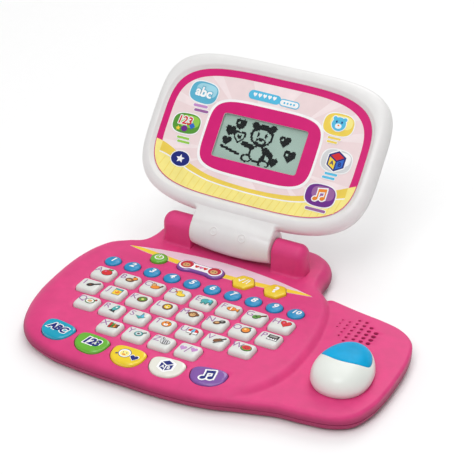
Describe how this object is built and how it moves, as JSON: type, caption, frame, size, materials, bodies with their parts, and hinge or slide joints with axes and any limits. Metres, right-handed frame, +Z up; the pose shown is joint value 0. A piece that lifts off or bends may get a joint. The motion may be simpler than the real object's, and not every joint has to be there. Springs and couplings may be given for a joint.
{
  "type": "toy laptop computer",
  "caption": "Toy laptop with a rounded base, pressable letter and number keys, a captive mouse on a side wing and a hinged lid with a small display.",
  "frame": {"origin": "centre of the base's footprint, on the table surface that the feet rest on", "axes": "+X to the user's right, towards the mouse wing; +Y away from the user, towards the hinge; +Z up"},
  "size_m": [0.3131, 0.2839, 0.1589],
  "materials": {
    "pink_plastic": "semi-gloss",
    "white_plastic": "semi-gloss",
    "printed_label": "printed film",
    "printed_face": "printed film",
    "circuit_board": "solder mask",
    "mat_rubber": "silicone",
    "black_plastic": "moulded",
    "cell_metal": "foil sleeve",
    "steel": "bright",
    "foot_rubber": "matte",
    "clear_window": "clear moulded window",
    "lcd_panel": "reflective screen",
    "blue_clear": "tinted translucent",
    "blue_key": "glossy",
    "teal_key": "satin",
    "green_key": "satin",
    "yellow_key": "satin",
    "white_key": "satin",
    "purple_key": "satin"
  },
  "bodies": {
    "base": {"base_top_shell": "pink_plastic", "base_bottom_shell": "pink_plastic", "battery_cover": "pink_plastic", "console_label": "printed_label", "main_board": "circuit_board", "key_mat": "mat_rubber", "speaker": "black_plastic", "batteries": "cell_metal", "battery_contacts": "steel", "base_screws": "steel", "feet": "foot_rubber", "hinge_pins": "steel"},
    "lid": {"lid_front_shell": "white_plastic", "lid_back_shell": "white_plastic", "lid_faceplate": "printed_face", "screen_window": "clear_window", "lcd_module": "lcd_panel", "lid_screws": "steel"},
    "mouse_slide": {"mouse_carriage": "black_plastic"},
    "mouse": {"mouse_body": "white_plastic", "mouse_base": "white_plastic"},
    "mouse_button": {"mouse_button": "blue_clear"},
    "number_keys_left": {"number_keys_left": "blue_key"},
    "number_keys_right": {"number_keys_right": "blue_key"},
    "key_a": {"key_a": "white_key"},
    "key_b": {"key_b": "white_key"},
    "key_c": {"key_c": "white_key"},
    "key_d": {"key_d": "white_key"},
    "key_e": {"key_e": "white_key"},
    "key_f": {"key_f": "white_key"},
    "key_g": {"key_g": "white_key"},
    "key_h": {"key_h": "white_key"},
    "key_i": {"key_i": "white_key"},
    "key_j": {"key_j": "white_key"},
    "key_k": {"key_k": "white_key"},
    "key_l": {"key_l": "white_key"},
    "key_m": {"key_m": "white_key"},
    "key_n": {"key_n": "white_key"},
    "key_o": {"key_o": "white_key"},
    "key_p": {"key_p": "white_key"},
    "key_q": {"key_q": "white_key"},
    "key_r": {"key_r": "white_key"},
    "key_s": {"key_s": "white_key"},
    "key_t": {"key_t": "white_key"},
    "key_u": {"key_u": "white_key"},
    "key_v": {"key_v": "white_key"},
    "key_w": {"key_w": "white_key"},
    "key_x": {"key_x": "white_key"},
    "key_y": {"key_y": "white_key"},
    "key_z": {"key_z": "white_key"},
    "key_hearts": {"key_hearts": "white_key"},
    "key_words": {"key_words": "teal_key"},
    "key_counting": {"key_counting": "green_key"},
    "key_friends": {"key_friends": "yellow_key"},
    "key_games": {"key_games": "white_key"},
    "key_music": {"key_music": "purple_key"},
    "key_power": {"key_power": "green_key"},
    "key_people": {"key_people": "purple_key"},
    "key_answer": {"key_answer": "yellow_key"},
    "key_question": {"key_question": "yellow_key"}
  },
  "joints": [
    {"name": "lid_hinge", "type": "hinge", "parent": "base", "child": "lid", "pos_m": [-0.031, 0.0725, 0.038], "axis": [1, 0, 0], "range_deg": [0, 129.5]},
    {"name": "mouse_sideways", "type": "slide", "parent": "base", "child": "mouse_slide", "axis": [1, 0, 0], "range_m": [-0.004, 0.004], "stiffness_N_per_m": 120},
    {"name": "mouse_forward", "type": "slide", "parent": "mouse_slide", "child": "mouse", "axis": [0, 1, 0], "range_m": [-0.004, 0.004], "stiffness_N_per_m": 120},
    {"name": "mouse_click", "type": "slide", "parent": "mouse", "child": "mouse_button", "axis": [0, 0, -1], "range_m": [0, 0.0012], "stiffness_N_per_m": 400, "springref_m": -0.0004},
    {"name": "number_keys_left_press", "type": "slide", "parent": "base", "child": "number_keys_left", "axis": [0, 0, -1], "range_m": [0, 0.0018], "stiffness_N_per_m": 300, "springref_m": -0.0004},
    {"name": "number_keys_right_press", "type": "slide", "parent": "base", "child": "number_keys_right", "axis": [0, 0, -1], "range_m": [0, 0.0018], "stiffness_N_per_m": 300, "springref_m": -0.0004},
    {"name": "key_a_press", "type": "slide", "parent": "base", "child": "key_a", "axis": [0, 0, -1], "range_m": [0, 0.0018], "stiffness_N_per_m": 300, "springref_m": -0.0004},
    {"name": "key_b_press", "type": "slide", "parent": "base", "child": "key_b", "axis": [0, 0, -1], "range_m": [0, 0.0018], "stiffness_N_per_m": 300, "springref_m": -0.0004},
    {"name": "key_c_press", "type": "slide", "parent": "base", "child": "key_c", "axis": [0, 0, -1], "range_m": [0, 0.0018], "stiffness_N_per_m": 300, "springref_m": -0.0004},
    {"name": "key_d_press", "type": "slide", "parent": "base", "child": "key_d", "axis": [0, 0, -1], "range_m": [0, 0.0018], "stiffness_N_per_m": 300, "springref_m": -0.0004},
    {"name": "key_e_press", "type": "slide", "parent": "base", "child": "key_e", "axis": [0, 0, -1], "range_m": [0, 0.0018], "stiffness_N_per_m": 300, "springref_m": -0.0004},
    {"name": "key_f_press", "type": "slide", "parent": "base", "child": "key_f", "axis": [0, 0, -1], "range_m": [0, 0.0018], "stiffness_N_per_m": 300, "springref_m": -0.0004},
    {"name": "key_g_press", "type": "slide", "parent": "base", "child": "key_g", "axis": [0, 0, -1], "range_m": [0, 0.0018], "stiffness_N_per_m": 300, "springref_m": -0.0004},
    {"name": "key_h_press", "type": "slide", "parent": "base", "child": "key_h", "axis": [0, 0, -1], "range_m": [0, 0.0018], "stiffness_N_per_m": 300, "springref_m": -0.0004},
    {"name": "key_i_press", "type": "slide", "parent": "base", "child": "key_i", "axis": [0, 0, -1], "range_m": [0, 0.0018], "stiffness_N_per_m": 300, "springref_m": -0.0004},
    {"name": "key_j_press", "type": "slide", "parent": "base", "child": "key_j", "axis": [0, 0, -1], "range_m": [0, 0.0018], "stiffness_N_per_m": 300, "springref_m": -0.0004},
    {"name": "key_k_press", "type": "slide", "parent": "base", "child": "key_k", "axis": [0, 0, -1], "range_m": [0, 0.0018], "stiffness_N_per_m": 300, "springref_m": -0.0004},
    {"name": "key_l_press", "type": "slide", "parent": "base", "child": "key_l", "axis": [0, 0, -1], "range_m": [0, 0.0018], "stiffness_N_per_m": 300, "springref_m": -0.0004},
    {"name": "key_m_press", "type": "slide", "parent": "base", "child": "key_m", "axis": [0, 0, -1], "range_m": [0, 0.0018], "stiffness_N_per_m": 300, "springref_m": -0.0004},
    {"name": "key_n_press", "type": "slide", "parent": "base", "child": "key_n", "axis": [0, 0, -1], "range_m": [0, 0.0018], "stiffness_N_per_m": 300, "springref_m": -0.0004},
    {"name": "key_o_press", "type": "slide", "parent": "base", "child": "key_o", "axis": [0, 0, -1], "range_m": [0, 0.0018], "stiffness_N_per_m": 300, "springref_m": -0.0004},
    {"name": "key_p_press", "type": "slide", "parent": "base", "child": "key_p", "axis": [0, 0, -1], "range_m": [0, 0.0018], "stiffness_N_per_m": 300, "springref_m": -0.0004},
    {"name": "key_q_press", "type": "slide", "parent": "base", "child": "key_q", "axis": [0, 0, -1], "range_m": [0, 0.0018], "stiffness_N_per_m": 300, "springref_m": -0.0004},
    {"name": "key_r_press", "type": "slide", "parent": "base", "child": "key_r", "axis": [0, 0, -1], "range_m": [0, 0.0018], "stiffness_N_per_m": 300, "springref_m": -0.0004},
    {"name": "key_s_press", "type": "slide", "parent": "base", "child": "key_s", "axis": [0, 0, -1], "range_m": [0, 0.0018], "stiffness_N_per_m": 300, "springref_m": -0.0004},
    {"name": "key_t_press", "type": "slide", "parent": "base", "child": "key_t", "axis": [0, 0, -1], "range_m": [0, 0.0018], "stiffness_N_per_m": 300, "springref_m": -0.0004},
    {"name": "key_u_press", "type": "slide", "parent": "base", "child": "key_u", "axis": [0, 0, -1], "range_m": [0, 0.0018], "stiffness_N_per_m": 300, "springref_m": -0.0004},
    {"name": "key_v_press", "type": "slide", "parent": "base", "child": "key_v", "axis": [0, 0, -1], "range_m": [0, 0.0018], "stiffness_N_per_m": 300, "springref_m": -0.0004},
    {"name": "key_w_press", "type": "slide", "parent": "base", "child": "key_w", "axis": [0, 0, -1], "range_m": [0, 0.0018], "stiffness_N_per_m": 300, "springref_m": -0.0004},
    {"name": "key_x_press", "type": "slide", "parent": "base", "child": "key_x", "axis": [0, 0, -1], "range_m": [0, 0.0018], "stiffness_N_per_m": 300, "springref_m": -0.0004},
    {"name": "key_y_press", "type": "slide", "parent": "base", "child": "key_y", "axis": [0, 0, -1], "range_m": [0, 0.0018], "stiffness_N_per_m": 300, "springref_m": -0.0004},
    {"name": "key_z_press", "type": "slide", "parent": "base", "child": "key_z", "axis": [0, 0, -1], "range_m": [0, 0.0018], "stiffness_N_per_m": 300, "springref_m": -0.0004},
    {"name": "key_hearts_press", "type": "slide", "parent": "base", "child": "key_hearts", "axis": [0, 0, -1], "range_m": [0, 0.0018], "stiffness_N_per_m": 300, "springref_m": -0.0004},
    {"name": "key_words_press", "type": "slide", "parent": "base", "child": "key_words", "axis": [0, 0, -1], "range_m": [0, 0.0018], "stiffness_N_per_m": 300, "springref_m": -0.0004},
    {"name": "key_counting_press", "type": "slide", "parent": "base", "child": "key_counting", "axis": [0, 0, -1], "range_m": [0, 0.0018], "stiffness_N_per_m": 300, "springref_m": -0.0004},
    {"name": "key_friends_press", "type": "slide", "parent": "base", "child": "key_friends", "axis": [0, 0, -1], "range_m": [0, 0.0018], "stiffness_N_per_m": 300, "springref_m": -0.0004},
    {"name": "key_games_press", "type": "slide", "parent": "base", "child": "key_games", "axis": [0, 0, -1], "range_m": [0, 0.0018], "stiffness_N_per_m": 300, "springref_m": -0.0004},
    {"name": "key_music_press", "type": "slide", "parent": "base", "child": "key_music", "axis": [0, 0, -1], "range_m": [0, 0.0018], "stiffness_N_per_m": 300, "springref_m": -0.0004},
    {"name": "key_power_press", "type": "slide", "parent": "base", "child": "key_power", "axis": [0, 0, -1], "range_m": [0, 0.0018], "stiffness_N_per_m": 300, "springref_m": -0.0004},
    {"name": "key_people_press", "type": "slide", "parent": "base", "child": "key_people", "axis": [0, 0, -1], "range_m": [0, 0.0018], "stiffness_N_per_m": 300, "springref_m": -0.0004},
    {"name": "key_answer_press", "type": "slide", "parent": "base", "child": "key_answer", "axis": [0, 0, -1], "range_m": [0, 0.0018], "stiffness_N_per_m": 300, "springref_m": -0.0004},
    {"name": "key_question_press", "type": "slide", "parent": "base", "child": "key_question", "axis": [0, 0, -1], "range_m": [0, 0.0018], "stiffness_N_per_m": 300, "springref_m": -0.0004}
  ]
}
